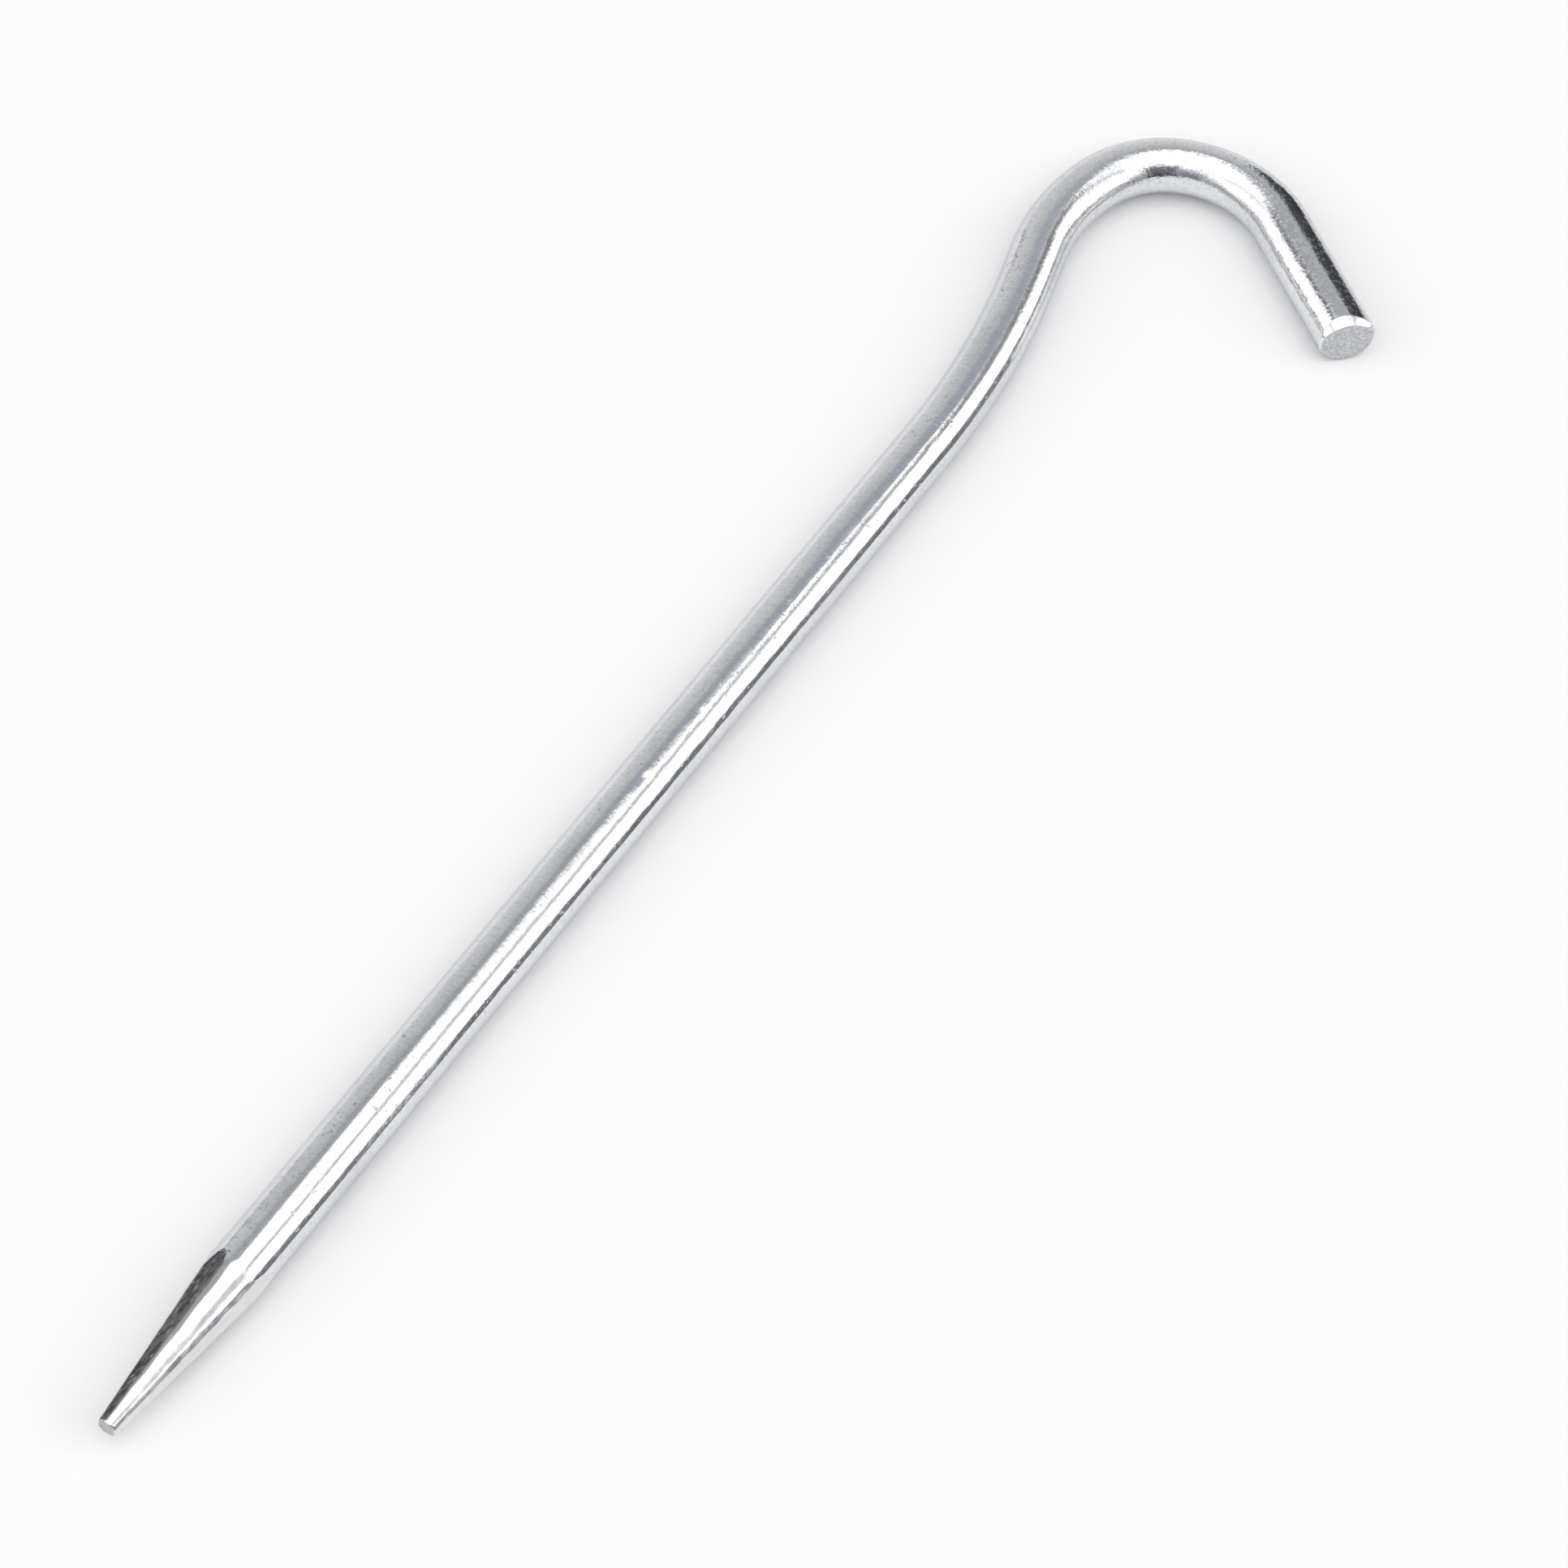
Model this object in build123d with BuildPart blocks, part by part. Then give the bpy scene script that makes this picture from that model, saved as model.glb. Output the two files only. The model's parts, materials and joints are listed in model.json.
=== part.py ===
"""Shepherd's-hook tent stake, bent from one length of drawn aluminium rod.

The stake lies flat: +Y runs along the shank from the ground point to the hook, the hook opens
towards +X, and +Z is up. The origin is at the bottom centre of the stake's own box.
"""

import os

from build123d import *

# Rod stock and overall size, in millimetres
rod_diameter = 5.5
rod_radius = rod_diameter / 2
overall_length = 180.0

# Bends along the centreline, in order from the shank to the cut end of the hook
offset_radius = 93.5  # gentle bend that carries the hook back over the shank's own line
offset_angle = 15.0
lead_length = 3.0
lead_radius = 20.7  # first, wider part of the hook
lead_angle = 31.0
crown_radius = 11.45  # the hook's tight crown, where the line sits
crown_angle = 107.5
hook_end_length = 15.6

# Ground point
point_length = 19.0
flat_count = 8
first_flat_angle = 37.0  # turned from the top of the stake towards the hook's side
tip_across_flats = 1.9
tip_edge_break = 0.15

# Sheared hook end
hook_edge_break = 0.45

# The bends start where the straight shank ends, at the bending frame's origin.
with BuildLine() as bends:
    offset_bend = JernArc(start=(0, 0), tangent=(0, 1), radius=offset_radius, arc_size=offset_angle)
    lead = Line(offset_bend @ 1, offset_bend @ 1 + lead_length * (offset_bend % 1))
    lead_bend = JernArc(start=lead @ 1, tangent=lead % 1, radius=lead_radius, arc_size=-lead_angle)
    crown = JernArc(start=lead_bend @ 1, tangent=lead_bend % 1, radius=crown_radius, arc_size=-crown_angle)
    hook_end = Line(crown @ 1, crown @ 1 + hook_end_length * (crown % 1))

crown_top = bends.line.bounding_box().max.Y + rod_radius
shank_length = overall_length - crown_top

# One grinding cut: everything outside a flat that slopes from the shank's surface to the tip.
with BuildPart() as flat_cut:
    with BuildSketch(Plane.YZ.offset(-rod_diameter)):
        with BuildLine():
            slope = (rod_radius - tip_across_flats / 2) / point_length
            tip_y = -shank_length
            Polyline(
                (tip_y + point_length, rod_radius),
                (tip_y - 1, tip_across_flats / 2 - slope),
                (tip_y - 1, rod_diameter),
                (tip_y + point_length, rod_diameter),
                close=True,
            )
        make_face()
    extrude(amount=2 * rod_diameter)

with BuildPart() as bent_rod:
    with BuildLine() as centreline:
        shank = Line((0, -shank_length), (0, 0))
        add(bends.line)
    with BuildSketch(Plane(origin=shank @ 0, z_dir=shank % 0)):
        Circle(rod_radius)
    sweep(path=centreline.line)
    hook_face = bent_rod.faces().filter_by(GeomType.PLANE).sort_by(Axis.Y)[-1]
    chamfer(hook_face.edges(), length=hook_edge_break)
    for index in range(flat_count):
        turn = first_flat_angle + 360 / flat_count * index
        add(flat_cut.part.rotate(Axis.Y, turn), mode=Mode.SUBTRACT)
    tip_face = bent_rod.faces().filter_by(GeomType.PLANE).sort_by(Axis.Y)[0]
    chamfer(tip_face.edges(), length=tip_edge_break)

# Laid on the ground plane, centred on the stake's own box
box = bent_rod.part.bounding_box()
with BuildPart() as stake:
    with Locations((-box.center().X, -box.center().Y, -box.min.Z)):
        add(bent_rod.part)

os.makedirs("parts", exist_ok=True)
stake.part.label = "stake"
export_step(stake.part, "parts/stake.step")

rod_length = sum(edge.length for edge in centreline.edges())
print("shank length", round(shank_length, 2), "rod length", round(rod_length, 2))
print("box", stake.part.bounding_box())
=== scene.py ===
"""Looks of the shepherd's-hook tent stake: drawn aluminium rod, ground point, sheared ends.

The visible stake is one closed mesh swept along the same centreline as the CAD rod. Lengths are
millimetres, because the stake's details are that size, until place() turns them into metres.
"""

import json
import math

import bpy
import numpy as np
from mathutils import Matrix, Vector


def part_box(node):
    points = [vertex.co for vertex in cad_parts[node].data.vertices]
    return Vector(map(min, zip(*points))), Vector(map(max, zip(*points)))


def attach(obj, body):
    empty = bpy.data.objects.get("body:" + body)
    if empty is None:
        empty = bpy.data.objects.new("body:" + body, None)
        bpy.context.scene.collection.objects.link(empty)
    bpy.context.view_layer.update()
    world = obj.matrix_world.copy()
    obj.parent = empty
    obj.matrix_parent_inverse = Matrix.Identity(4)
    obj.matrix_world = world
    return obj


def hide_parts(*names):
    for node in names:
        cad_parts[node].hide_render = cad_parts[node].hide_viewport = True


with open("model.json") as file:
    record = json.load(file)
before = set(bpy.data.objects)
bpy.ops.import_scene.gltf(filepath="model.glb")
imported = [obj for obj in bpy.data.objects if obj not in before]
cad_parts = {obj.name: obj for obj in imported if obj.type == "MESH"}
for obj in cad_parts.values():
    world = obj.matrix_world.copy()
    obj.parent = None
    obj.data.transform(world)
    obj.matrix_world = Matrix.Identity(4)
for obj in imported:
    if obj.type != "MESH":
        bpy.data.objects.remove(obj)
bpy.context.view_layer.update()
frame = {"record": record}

MM = 0.001
rng = np.random.default_rng(7)
mounts = {mount["name"]: mount for mount in frame["record"]["mounts"]}
shank_mount = mounts["shank"]
rod_radius = shank_mount["dims"]["r_mm"]
shank_x = shank_mount["pos_m"][0] / MM
tip_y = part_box("stake")[0].y / MM

# The straights and bends of the CAD part, in order from the tip: lengths and radii in millimetres,
# turns in degrees. The offset bend turns away from the hook's side, the other two towards it.
offset_radius, offset_angle = 93.5, 15.0
lead_length = 3.0
lead_radius, lead_angle = 20.7, 31.0
crown_radius, crown_angle = 11.45, 107.5
hook_end_length = 15.6
overall_length = (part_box("stake")[1].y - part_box("stake")[0].y) / MM
point_length = 19.0


def arc_length(radius, degrees):
    return radius * math.radians(degrees)


def rise_of_bends():
    """How far the bends carry the centreline along the shank, up to the top of the crown."""
    heading, rise = 0.0, 0.0
    for radius, angle in ((-offset_radius, -offset_angle), (None, 0), (lead_radius, lead_angle)):
        start = math.radians(heading)
        heading += angle
        if radius is None:
            rise += lead_length * math.cos(start)
        else:
            rise += radius * (math.sin(math.radians(heading)) - math.sin(start))
    return rise + crown_radius * (1 - math.sin(math.radians(heading)))


shank_length = overall_length - rod_radius - rise_of_bends()
RUNS = (
    (shank_length, 0.0),
    (arc_length(offset_radius, offset_angle), -1 / offset_radius),
    (lead_length, 0.0),
    (arc_length(lead_radius, lead_angle), 1 / lead_radius),
    (arc_length(crown_radius, crown_angle), 1 / crown_radius),
    (hook_end_length, 0.0),
)
rod_length = sum(length for length, _ in RUNS)
crown_start = sum(length for length, _ in RUNS[:4])
crown_middle = crown_start + RUNS[4][0] / 2


def centreline(s):
    """Point and heading of the rod's axis at arc lengths s; heading turns from +Y towards +X."""
    x, y, heading = shank_x, tip_y, 0.0
    px, py, ph = np.zeros_like(s), np.zeros_like(s), np.zeros_like(s)
    begin = 0.0
    for length, curvature in RUNS:
        here = s >= begin - 1e-9
        t = s[here] - begin
        turned = heading + curvature * t
        if curvature == 0:
            px[here] = x + math.sin(heading) * t
            py[here] = y + math.cos(heading) * t
            x, y = x + math.sin(heading) * length, y + math.cos(heading) * length
        else:
            px[here] = x + (math.cos(heading) - np.cos(turned)) / curvature
            py[here] = y + (np.sin(turned) - math.sin(heading)) / curvature
            end = heading + curvature * length
            x += (math.cos(heading) - math.cos(end)) / curvature
            y += (math.sin(end) - math.sin(heading)) / curvature
            heading = end
        ph[here] = turned
        begin += length
    return px, py, ph


def smoothstep(x):
    x = np.clip(x, 0, 1)
    return x * x * (3 - 2 * x)


def smooth_min(a, b, width):
    """The lower of a and b, with the corner between them rounded over width."""
    h = np.clip(0.5 + 0.5 * (b - a) / width, 0, 1)
    return b * (1 - h) + a * h - width * h * (1 - h)


def turned_from(angle, degrees):
    """Signed angle round the rod from a given turn, within half a turn either way."""
    return np.angle(np.exp(1j * (angle - math.radians(degrees))))


# ---------------------------------------------------------------- surface of the rod

# Angles round the rod are measured from the hook's side towards the top.

# The ground flats, each (turn in degrees, length, apothem at the tip, coarseness of the stroke):
# eight hand-ground flats and three narrow ones on their edges.
FLATS = (
    (123, 19.5, 0.96, 1.0),
    (98, 18.9, 0.99, 0.15),
    (82, 19.3, 0.95, 0.0),
    (63, 18.8, 0.96, 0.5),
    (50, 18.4, 0.99, 0.0),
    (38.5, 18.6, 0.945, 0.8),
    (12, 20.0, 0.925, 0.1),
    (-30, 18.6, 0.95, 0.2),
    (-84, 19.3, 0.90, 0.4),
    (-134, 18.0, 0.98, 0.2),
    (172, 18.9, 0.94, 0.6),
)
EDGE_ROUNDING = 0.03  # between neighbouring flats
SHOULDER_ROUNDING = 0.02  # between the flats and the drawn rod
BEYOND = 1e3  # further out than any surface
GRAZING = 0.2  # a flat isn't looked at where it faces away by more than this cosine


def ground_point(s, angle):
    """Distance from the axis to the ground flats, and the coarseness of the nearest flat."""
    radius = np.full(s.shape, BEYOND)
    coarse = np.zeros(s.shape)
    for turn, length, tip, coarseness in FLATS:
        facing = np.cos(angle - math.radians(turn))
        apothem = tip + (rod_radius - tip) * s / length
        unsteady_hand = 0.006 * np.sin(s * 1.3 + turn) * smoothstep(s / 4)
        step_at_shoulder = 0.05 * coarseness * smoothstep((s - length + 1.0) / 0.5)
        apothem = apothem + unsteady_hand + step_at_shoulder
        plane = np.where(facing > GRAZING, apothem / np.maximum(facing, GRAZING), BEYOND)
        coarse = np.where(plane < radius, coarseness, coarse)
        radius = smooth_min(radius, plane, EDGE_ROUNDING)
    return radius, coarse


# Slow waves in the drawn surface: length along the rod, lobes round it, height
WAVES = ((17.0, 1, 0.005), (26.0, 2, 0.006), (39.0, 3, 0.004))


def drawn_radius(s, angle):
    """The drawn rod: an oval section with slow waves, a die line, and the marks of the bending."""
    wave = np.zeros(s.shape)
    for length, lobes, size in WAVES:
        start, tilt = rng.uniform(0, 2 * math.pi, 2)
        wave += size * np.sin(2 * math.pi * s / length + start) * np.cos(lobes * angle + tilt)
    bend_reach = RUNS[4][0] * 0.62
    bend = smoothstep(1 - np.abs(s - crown_middle) / bend_reach)
    oval = 0.07 * np.cos(2 * angle) * (1 - bend)
    bend_oval = bend * (-0.06 * np.cos(angle) ** 2 + 0.03 * np.sin(angle) ** 2)
    fade = 10.0
    across, slope, width = turned_from(angle, 31.5), 0.26, 0.13
    die_line = -slope * across * np.exp(-((across / width) ** 2))
    die_line = die_line * smoothstep((crown_start - s) / fade)
    across, height, width = turned_from(angle, 152.0), 0.20, 0.38
    pressed = height * np.exp(-((across / width) ** 2)) * smoothstep((s - crown_middle) / fade)
    return rod_radius + wave + oval + bend_oval + die_line + pressed


def dents(s, angle):
    """Small knocks: round dimples all over, a few oblique scratches, a ring mark on the hook."""
    depth = np.zeros(s.shape)

    def patch(at, turn):
        along = s - at
        around = (np.angle(np.exp(1j * (angle - turn)))) * rod_radius
        return along, around

    dimples, scratches = 70, 9
    for _ in range(dimples):
        at = rng.uniform(point_length + 2, rod_length - 2)
        along, around = patch(at, rng.uniform(-math.pi, math.pi))
        size = rng.uniform(0.22, 0.6)
        depth += rng.uniform(0.008, 0.028) * np.exp(-(along**2 + around**2) / size**2)
    for _ in range(scratches):
        at = rng.uniform(point_length + 5, rod_length - 6)
        along, around = patch(at, rng.uniform(0, math.pi))
        lean = rng.uniform(-0.9, 0.9)
        length = rng.uniform(1.2, 3.5)
        across = around - lean * along
        shape = np.exp(-((across / 0.16) ** 2) - (along / length) ** 4)
        depth += rng.uniform(0.008, 0.016) * shape
    along, around = patch(rod_length - 9.5, math.radians(100))
    ring_radius, ring_width, ring_depth = 0.75, 0.2, 0.02
    from_ring = np.hypot(along, around) - ring_radius
    return depth + ring_depth * np.exp(-((from_ring / ring_width) ** 2))


def sheared_edge(distance, angle):
    """How far the shear rolled the edge in: a broad slope on top, a steep one outside."""
    upper = smoothstep((np.cos(angle - math.radians(82)) - 0.38) / 0.62)
    ragged = 0.06 * np.sin(angle * 5 + 1.0) + 0.05 * np.sin(angle * 11)
    outer = smoothstep((np.cos(angle - math.radians(170)) - 0.3) / 0.7)
    width = 0.30 + 0.85 * upper * (1 + ragged) + 0.08 * outer
    depth = 0.15 + 0.20 * upper + 0.14 * outer
    return depth * np.clip(1 - distance / width, 0, 1) ** 1.2


def shear_slant(s, angle, radius):
    """How far the slanted cut at the hook end moves the surface along the axis."""
    reach = 5.0
    setback, slope_inward, slope_upward = 0.40, 0.152, 0.055
    cut = setback + radius * (slope_inward * np.cos(angle) + slope_upward * np.sin(angle))
    return -cut * smoothstep((s - (rod_length - reach)) / reach)


def tip_edge(distance):
    """How far the blunt tip's edge is rounded in."""
    width, depth = 0.22, 0.16
    t = np.clip(1 - distance / width, 0, 1)
    return depth * (1 - np.sqrt(1 - t * t))


def section_radius(s, angle):
    """Radius of the finished surface, depth it was ground to, and how coarsely it was ground."""
    drawn = drawn_radius(s, angle) - dents(s, angle)
    ground, coarse = ground_point(s, angle)
    radius = smooth_min(drawn, ground, SHOULDER_ROUNDING)
    radius = radius - sheared_edge(rod_length - s, angle)
    radius = radius - tip_edge(s)
    return radius, drawn - ground, coarse


# ---------------------------------------------------------------- mesh

COLUMNS = 128  # vertices round the rod
CAP_STEPS = 14  # rings from the rim of an end face to its middle
SIDE, FACE = 0, 1  # material slots


def ring_positions():
    """Arc lengths of the mesh rings: dense at the point, the hook and the two ends."""
    tip_rim, shoulder, end_rim = 0.3, point_length + 1.5, rod_length - 1.5
    fine_tip = np.linspace(0, tip_rim, 9)[:-1]
    point = np.linspace(tip_rim, shoulder, 130)[:-1]
    shank = np.linspace(shoulder, shank_length, 220)[:-1]
    hook = np.linspace(shank_length, end_rim, 250)[:-1]
    fine_end = np.linspace(end_rim, rod_length, 26)
    return np.concatenate([fine_tip, point, shank, hook, fine_end])


def place(s, angle, radius, lift=0.0):
    """Row-frame points, in metres, of the rod's surface. lift moves them along the axis."""
    x, y, heading = centreline(s)
    across = radius * np.cos(angle)
    px = x + across * np.cos(heading) + lift * np.sin(heading)
    py = y - across * np.sin(heading) + lift * np.cos(heading)
    pz = rod_radius + radius * np.sin(angle)
    return np.stack([px, py, pz], -1) * MM


def cap_rings(s_end, edge_radius, angle, outward, tilt, grain):
    """Rings that close one end: a slightly tilted, grainy sheared face."""
    rings = []
    for step in range(1, CAP_STEPS):
        share = 1 - step / CAP_STEPS
        radius = edge_radius * share
        lift = tilt * radius * np.cos(angle - 0.6)
        lift += grain * share * (1 - share**6) * rng.normal(0, 1, angle.shape)
        rings.append((np.full(angle.shape, s_end), radius, outward * lift))
    return rings


def build_stake():
    """The rod's closed mesh: rings of vertices along the side, then the two end faces."""
    turn = np.arange(COLUMNS) / COLUMNS * 2 * math.pi
    rings = ring_positions()
    s, angle = np.meshgrid(rings, turn, indexing="ij")
    radius, cut, coarse = section_radius(s, angle)
    side = place(s, angle, radius, shear_slant(s, angle, radius))

    unbent = np.stack([radius * np.cos(angle), radius * np.sin(angle), s], -1)
    points, spaces, depths = [side.reshape(-1, 3)], [unbent.reshape(-1, 3)], [cut.reshape(-1)]
    tip_rings = cap_rings(0.0, radius[0], turn, -1.0, 0.10, 0.015)
    end_rings = cap_rings(rod_length, radius[-1], turn, 1.0, 0.0, 0.018)
    for group in (tip_rings, end_rings):
        for ring_s, ring_radius, lift in group:
            slant = shear_slant(ring_s, turn, ring_radius)
            points.append(place(ring_s, turn, ring_radius, lift + slant))
            flat_x, flat_y = ring_radius * np.cos(turn), ring_radius * np.sin(turn)
            spaces.append(np.stack([flat_x, flat_y, ring_s + lift], -1))
            depths.append(np.zeros(COLUMNS))
    for ring_s in (0.0, rod_length):
        middle = np.array([ring_s]), np.zeros(1), np.zeros(1)
        points.append(place(*middle, shear_slant(*middle)))
        spaces.append(np.array([[0, 0, ring_s]]))
        depths.append(np.zeros(1))

    faces, kinds = [], []

    def join(lower, upper, kind):
        for column in range(COLUMNS):
            after = (column + 1) % COLUMNS
            faces.append((lower + column, upper + column, upper + after, lower + after))
            kinds.append(kind)

    for ring in range(len(rings) - 1):
        join(ring * COLUMNS, (ring + 1) * COLUMNS, SIDE)
    first_tip = len(rings) * COLUMNS
    first_end = first_tip + len(tip_rings) * COLUMNS
    after_end = first_end + len(end_rings) * COLUMNS
    join(first_tip, 0, FACE)
    for ring in range(len(tip_rings) - 1):
        join(first_tip + (ring + 1) * COLUMNS, first_tip + ring * COLUMNS, FACE)
    join((len(rings) - 1) * COLUMNS, first_end, FACE)
    for ring in range(len(end_rings) - 1):
        join(first_end + ring * COLUMNS, first_end + (ring + 1) * COLUMNS, FACE)
    tip_last = first_end - COLUMNS
    end_last = after_end - COLUMNS
    for column in range(COLUMNS):
        after = (column + 1) % COLUMNS
        faces.append((after_end, tip_last + column, tip_last + after))
        faces.append((after_end + 1, end_last + after, end_last + column))
        kinds += [FACE, FACE]

    mesh = bpy.data.meshes.new("stake_rod")
    mesh.from_pydata(np.concatenate(points), [], faces)
    mesh.polygons.foreach_set("material_index", kinds)
    mesh.polygons.foreach_set("use_smooth", [True] * len(faces))
    no_stroke = np.zeros(len(mesh.vertices) - coarse.size)
    strokes = np.concatenate([coarse.reshape(-1), no_stroke])
    space = mesh.attributes.new("unbent_mm", "FLOAT_VECTOR", "POINT")
    space.data.foreach_set("vector", np.concatenate(spaces).astype(np.float32).ravel())
    for name, values in (("ground_mm", np.concatenate(depths)), ("coarse", strokes)):
        layer = mesh.attributes.new(name, "FLOAT", "POINT")
        layer.data.foreach_set("value", values.astype(np.float32))
    mesh.validate()
    stake = bpy.data.objects.new("stake_rod", mesh)
    bpy.context.scene.collection.objects.link(stake)
    return stake


# ---------------------------------------------------------------- materials


class Nodes:
    """A short way to write a node tree: each call adds one node and returns its output."""

    def __init__(self, tree):
        self.tree = tree
        tree.nodes.clear()

    def add(self, kind, inputs=(), **settings):
        node = self.tree.nodes.new(kind)
        for key, value in settings.items():
            setattr(node, key, value)
        for key, value in dict(inputs).items():
            if isinstance(value, bpy.types.NodeSocket):
                self.tree.links.new(value, node.inputs[key])
            else:
                node.inputs[key].default_value = value
        return node

    def math(self, operation, a, b=0.0):
        return self.add("ShaderNodeMath", {0: a, 1: b}, operation=operation).outputs[0]

    def plus(self, a, b):
        return self.math("ADD", a, b)

    def times(self, a, b):
        return self.math("MULTIPLY", a, b)

    def ramp(self, value, low, high, to_low=0.0, to_high=1.0, smooth=True):
        """Value taken from low..high to to_low..to_high, and held outside that."""
        kind = "SMOOTHSTEP" if smooth else "LINEAR"
        inputs = {"Value": value, "From Min": low, "From Max": high}
        inputs.update({"To Min": to_low, "To Max": to_high})
        return self.add("ShaderNodeMapRange", inputs, interpolation_type=kind).outputs[0]

    def noise(self, vector, scale, detail=2.0, roughness=0.5, distortion=0.0):
        inputs = {"Vector": vector, "Scale": scale, "Detail": detail, "Roughness": roughness}
        inputs["Distortion"] = distortion
        return self.add("ShaderNodeTexNoise", inputs).outputs["Fac"]

    def grain(self, space, across, along, *shape):
        """Noise in the unbent rod's space, with this many features per mm across and along."""
        inputs = {"Vector": space, "Scale": (across, across, along)}
        return self.noise(self.add("ShaderNodeMapping", inputs).outputs["Vector"], 1.0, *shape)

    def mix_colour(self, share, a, b):
        node = self.add("ShaderNodeMix", data_type="RGBA")
        for index, value in ((0, share), (6, a), (7, b)):
            if isinstance(value, bpy.types.NodeSocket):
                self.tree.links.new(value, node.inputs[index])
            else:
                node.inputs[index].default_value = value
        return node.outputs[2]

    def mix(self, share, a, b):
        inputs = {0: share, 2: a, 3: b}
        return self.add("ShaderNodeMix", inputs, data_type="FLOAT").outputs[0]

    def attribute(self, name, output):
        return self.add("ShaderNodeAttribute", attribute_name=name).outputs[output]

    def bump(self, height):
        """Normal of a surface raised by a height in millimetres."""
        inputs = {"Height": height, "Distance": MM, "Strength": 1.0}
        return self.add("ShaderNodeBump", inputs).outputs["Normal"]

    def surface(self, inputs):
        shader = self.add("ShaderNodeBsdfPrincipled", inputs)
        output = self.add("ShaderNodeOutputMaterial")
        self.tree.links.new(shader.outputs["BSDF"], output.inputs["Surface"])


def new_material(name):
    material = bpy.data.materials.new(name)
    material.use_nodes = True
    return material, Nodes(material.node_tree)


BRIGHT = (0.83, 0.835, 0.845, 1)  # drawn metal
DULL = (0.75, 0.76, 0.78, 1)
FRESH = (0.85, 0.85, 0.845, 1)  # ground metal
SOOT = (0.38, 0.39, 0.41, 1)
TORN_DARK, TORN_LIGHT = (0.46, 0.47, 0.49, 1), (0.72, 0.72, 0.74, 1)


def rod_material():
    """Drawn and tumbled aluminium, with the lengthwise grinding of the point where it was cut."""
    material, n = new_material("rod_aluminium")
    space = n.attribute("unbent_mm", "Vector")
    depth = n.attribute("ground_mm", "Fac")
    coarse = n.attribute("coarse", "Fac")
    along = n.add("ShaderNodeSeparateXYZ", {0: space}).outputs[2]
    hook = n.ramp(along, shank_length + 10, crown_start + 8)  # 0 on the shank, 1 on the hook
    ragged = n.grain(space, 3.0, 1.2, 3.0)
    edge = n.plus(depth, n.times(n.math("SUBTRACT", ragged, 0.5), 0.03))
    ground = n.ramp(edge, 0.0, 0.01)  # 0 on the drawn metal, 1 on the ground flats

    waves = n.grain(space, 0.7, 0.45, 1.0)
    peel = n.grain(space, 3.2, 2.8, 1.0, 0.5)
    grit = n.grain(space, 2.8, 2.4, 1.0, 0.5)
    specks = n.grain(space, 2.6, 2.0, 2.0, 0.55)
    clusters = n.ramp(n.grain(space, 0.5, 0.12, 2.0), 0.35, 0.65)
    pits = n.times(n.ramp(specks, 0.60, 0.74), clusters)
    blotches = n.grain(space, 0.35, 0.08, 2.0)
    drawn_lines = n.grain(space, 4.5, 0.06, 2.0, 0.6)
    grind_lines = n.grain(space, 4.0, 0.25, 2.0, 0.6)
    grains = n.grain(space, 2.2, 1.5, 1.5, 0.6)

    drawn_colour = n.mix_colour(n.ramp(blotches, 0.35, 0.7), BRIGHT, DULL)
    grit_share = n.times(n.ramp(grit, 0.45, 0.72), n.mix(hook, 0.14, 0.20))
    drawn_colour = n.mix_colour(grit_share, drawn_colour, SOOT)
    drawn_colour = n.mix_colour(n.times(pits, 0.7), drawn_colour, SOOT)
    chatter = n.grain(space, 0.9, 3.4, 1.5)
    chatter_share = n.times(n.ramp(chatter, 0.44, 0.66), n.mix(hook, 0.12, 0.04))
    drawn_colour = n.mix_colour(chatter_share, drawn_colour, SOOT)
    ground_colour = n.mix_colour(n.ramp(grind_lines, 0.45, 0.72), FRESH, DULL)
    smears = n.grain(space, 1.5, 0.8, 2.0, 0.6)
    torn = n.times(n.ramp(smears, 0.38, 0.62, 0.30, 1.0), coarse)
    ground_colour = n.mix_colour(torn, ground_colour, SOOT)
    colour = n.mix_colour(ground, drawn_colour, ground_colour)

    matt_grains = n.times(n.ramp(grit, 0.47, 0.66), n.mix(hook, 0.03, 0.15))
    drawn_rough = n.plus(n.ramp(blotches, 0.3, 0.75, 0.09, 0.15), n.times(hook, 0.02))
    drawn_rough = n.plus(drawn_rough, matt_grains)
    ground_rough = n.plus(n.ramp(grind_lines, 0.3, 0.7, 0.09, 0.17), n.times(coarse, 0.08))
    rough = n.mix(ground, drawn_rough, ground_rough)

    wave_height, pit_depth, drawn_line_height, grind_line_height = 0.022, 0.010, 0.003, 0.009
    peel_height = n.mix(hook, 0.005, 0.019)
    height = n.plus(n.times(waves, wave_height), n.times(peel, peel_height))
    height = n.plus(height, n.times(pits, -pit_depth))
    height = n.plus(height, n.times(drawn_lines, drawn_line_height))
    grain_height = n.mix(n.ramp(coarse, 0.85, 1.0), n.mix(coarse, 0.006, 0.016), 0.045)
    ground_height = n.plus(n.times(grains, grain_height), n.times(grind_lines, grind_line_height))
    normal = n.bump(n.mix(ground, height, ground_height))
    finish = {"Base Color": colour, "Metallic": 1.0, "Roughness": rough, "Normal": normal}
    n.surface({**finish, "Specular Tint": DULL})
    return material


def sheared_material():
    """The torn, grainy face that a shear leaves."""
    material, n = new_material("sheared_aluminium")
    space = n.attribute("unbent_mm", "Vector")
    grain = n.grain(space, 2.6, 2.6, 3.0, 0.7)
    tears = n.grain(space, 0.9, 0.9, 2.0, 0.6, 0.8)
    colour = n.mix_colour(n.ramp(grain, 0.35, 0.68), TORN_DARK, TORN_LIGHT)
    rough = n.ramp(tears, 0.3, 0.7, 0.38, 0.55)
    grain_height, tear_height = 0.06, 0.10
    height = n.plus(n.times(grain, grain_height), n.times(tears, tear_height))
    normal = n.bump(height)
    n.surface({"Base Color": colour, "Metallic": 1.0, "Roughness": rough, "Normal": normal})
    return material


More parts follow.
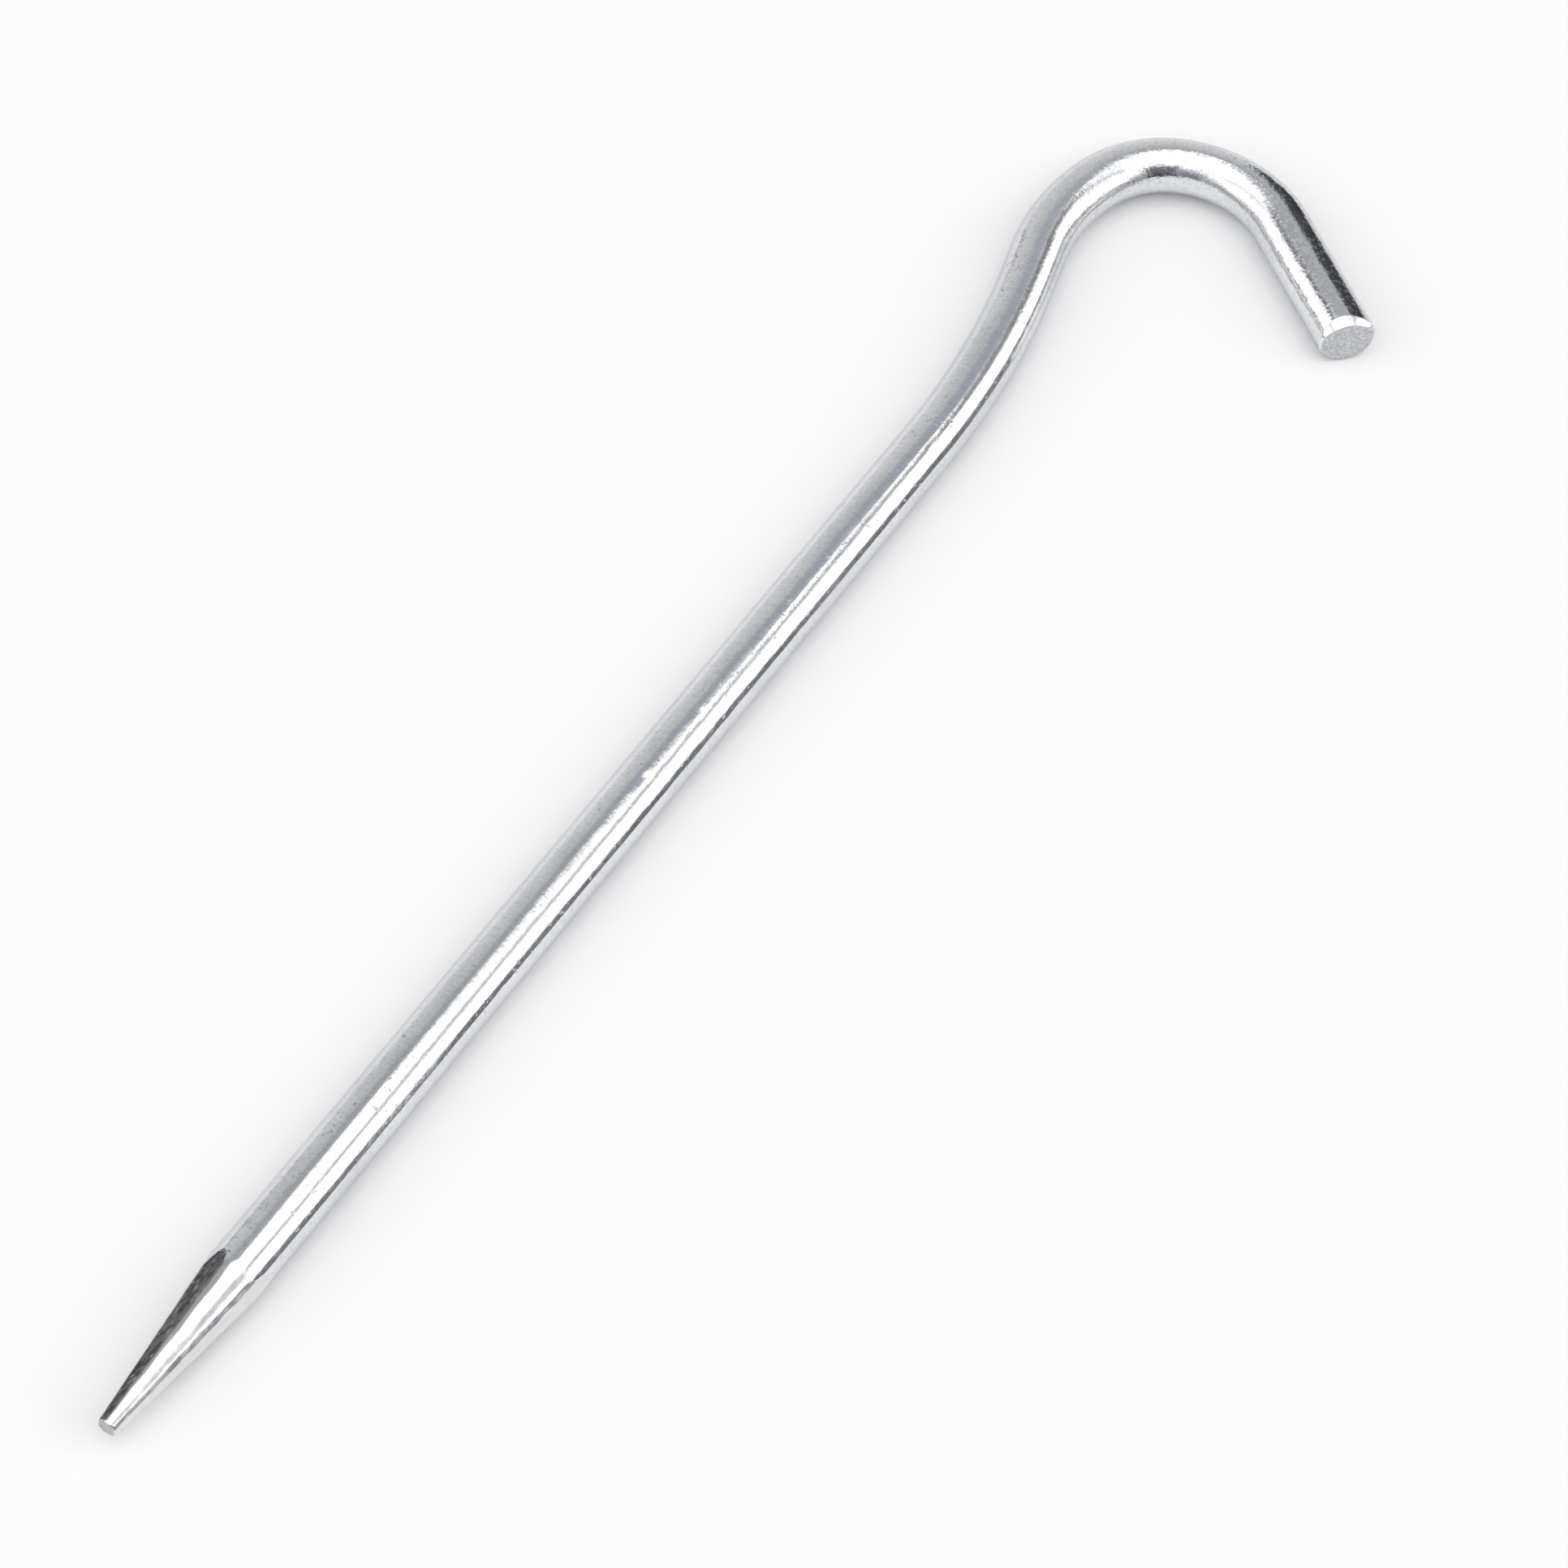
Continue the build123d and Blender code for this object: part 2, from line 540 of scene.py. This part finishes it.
def floor_material():
    """Matte white table board."""
    material, n = new_material("white_board")
    place_on_floor = n.add("ShaderNodeTexCoord").outputs["Object"]
    mottle = n.noise(place_on_floor, 9.0, 2.0)
    colour = n.mix_colour(mottle, (0.925, 0.925, 0.93, 1), (0.94, 0.94, 0.94, 1))
    n.surface({"Base Color": colour, "Roughness": 0.7, "Specular IOR Level": 0.2})
    return material


# ---------------------------------------------------------------- studio

BACK_WALL = -37.58  # bearing of the studio's back wall, in degrees clockwise from +Y

COOL = (0.94, 0.98, 1.08)
NEUTRAL = (1.0, 1.0, 1.0)
# Everything that isn't a white soft box, in degrees: bearing clockwise from the back wall as seen
# from above, half width, lowest and highest elevation, blur of the edges, brightness at the
# lower and the upper edge, tint. Later panels cover earlier ones.
PANELS = (
    ("back wall", 0, 33, -20, 48, 4, 0.78, 0.54, NEUTRAL),
    ("ceiling gap", -10, 54, 46, 60, 4, 0.47, 0.36, COOL),
    ("high gap", -14, 25, 56, 71, 6, 0.45, 0.45, NEUTRAL),
    ("left post", -44, 15, -10, 54, 4, 0.08, 0.13, NEUTRAL),
    ("right post, lit side", 51, 9, -10, 50, 5, 0.18, 0.27, NEUTRAL),
    ("right post", 39, 12, -10, 42, 5, 0.03, 0.08, COOL),
    ("right frame", 76, 36, 47, 54, 3, 0.58, 0.58, NEUTRAL),
    ("right frame, dark corner", 56, 13, 43, 52, 4, 0.28, 0.30, NEUTRAL),
    ("left frame", -104, 30, 43, 50, 3, 0.74, 0.74, NEUTRAL),
    ("behind camera", 160, 20, -5, 47, 12, 0.04, 0.24, COOL),
    ("behind camera, left", -167, 14, -5, 36, 12, 0.13, 0.42, COOL),
    ("left of camera", -145, 14, -5, 22, 12, 0.32, 0.60, NEUTRAL),
    ("right of camera", 136, 9, -5, 22, 10, 0.36, 0.62, NEUTRAL),
    ("right gap", 92, 42, -10, 9, 3, 0.13, 0.17, COOL),
    ("left gap", -95, 38, -10, 8, 4, 0.12, 0.15, NEUTRAL),
)
WHITE = (1.52, 1.52, 1.52, 1)  # the tent's lit cloth
BACKDROP = (0.933, 0.9345, 0.941, 1)  # what is seen beyond the floor: its colour as lit


def studio_world():
    """A light tent: white cloth above and at both sides, a grey wall behind, dark gaps between."""
    world = bpy.data.worlds.new("light_tent")
    world.use_nodes = True
    n = Nodes(world.node_tree)
    direction = n.add("ShaderNodeTexCoord").outputs["Generated"]
    parts = n.add("ShaderNodeSeparateXYZ", {0: direction})
    up = n.times(n.math("ARCSINE", parts.outputs[2]), 180 / math.pi)
    bearing = n.times(n.math("ARCTAN2", parts.outputs[0], parts.outputs[1]), 180 / math.pi)

    colour = WHITE
    for _, centre, half, low, high, blur, lower, upper, tint in PANELS:
        offset = n.math("SUBTRACT", bearing, centre + BACK_WALL)
        half_turn = {0: offset, 1: -180.0, 2: 180.0}
        side = n.math("ABSOLUTE", n.add("ShaderNodeMath", half_turn, operation="WRAP").outputs[0])
        across = n.ramp(side, half + blur / 2, half - blur / 2)
        above = n.ramp(up, low - blur / 2, low + blur / 2)
        below = n.ramp(up, high + blur / 2, high - blur / 2)
        share = n.times(n.times(across, above), below)
        low_light = (*(lower * part for part in tint), 1)
        high_light = (*(upper * part for part in tint), 1)
        light = n.mix_colour(n.ramp(up, max(low, 0), high, smooth=False), low_light, high_light)
        colour = n.mix_colour(share, colour, light)

    backdrop = n.add("ShaderNodeBackground", {"Color": BACKDROP, "Strength": 1.0})
    tent = n.add("ShaderNodeBackground", {"Color": colour, "Strength": 1.0})
    camera_ray = n.add("ShaderNodeLightPath").outputs["Is Camera Ray"]
    both = n.add("ShaderNodeMixShader", {0: camera_ray})
    n.tree.links.new(tent.outputs[0], both.inputs[1])
    n.tree.links.new(backdrop.outputs[0], both.inputs[2])
    output = n.add("ShaderNodeOutputWorld")
    n.tree.links.new(both.outputs[0], output.inputs["Surface"])
    bpy.context.scene.world = world


def floor_board():
    """The table, in metres: wide enough to reach the horizon of a low view."""
    half = 6.0
    corners = [(-half, -half, 0), (half, -half, 0), (half, half, 0), (-half, half, 0)]
    mesh = bpy.data.meshes.new("floor")
    mesh.from_pydata(corners, [], [(0, 1, 2, 3)])
    floor = bpy.data.objects.new("floor", mesh)
    bpy.context.scene.collection.objects.link(floor)
    floor.data.materials.append(floor_material())
    return floor


def camera():
    """Long lens, from above and in front of the stake, which slants up to the right."""
    eye = Vector((0.1334, -0.2916, 0.4721))
    target = Vector((0.0001, 0.0, rod_radius * MM))
    roll = math.radians(10.3)
    data = bpy.data.cameras.new("camera")
    data.lens = 142
    data.clip_start, data.clip_end = 0.05, 20  # metres
    made = bpy.data.objects.new("camera", data)
    facing = (target - eye).to_track_quat("-Z", "Y").to_matrix().to_4x4()
    made.matrix_world = Matrix.Translation(eye) @ facing @ Matrix.Rotation(roll, 4, "Z")
    bpy.context.scene.collection.objects.link(made)
    bpy.context.scene.camera = made


stake = build_stake()
stake.data.materials.append(rod_material())
stake.data.materials.append(sheared_material())
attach(stake, "root")
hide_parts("stake")

floor = floor_board()
studio_world()
camera()
bpy.context.scene.view_settings.view_transform = "Standard"
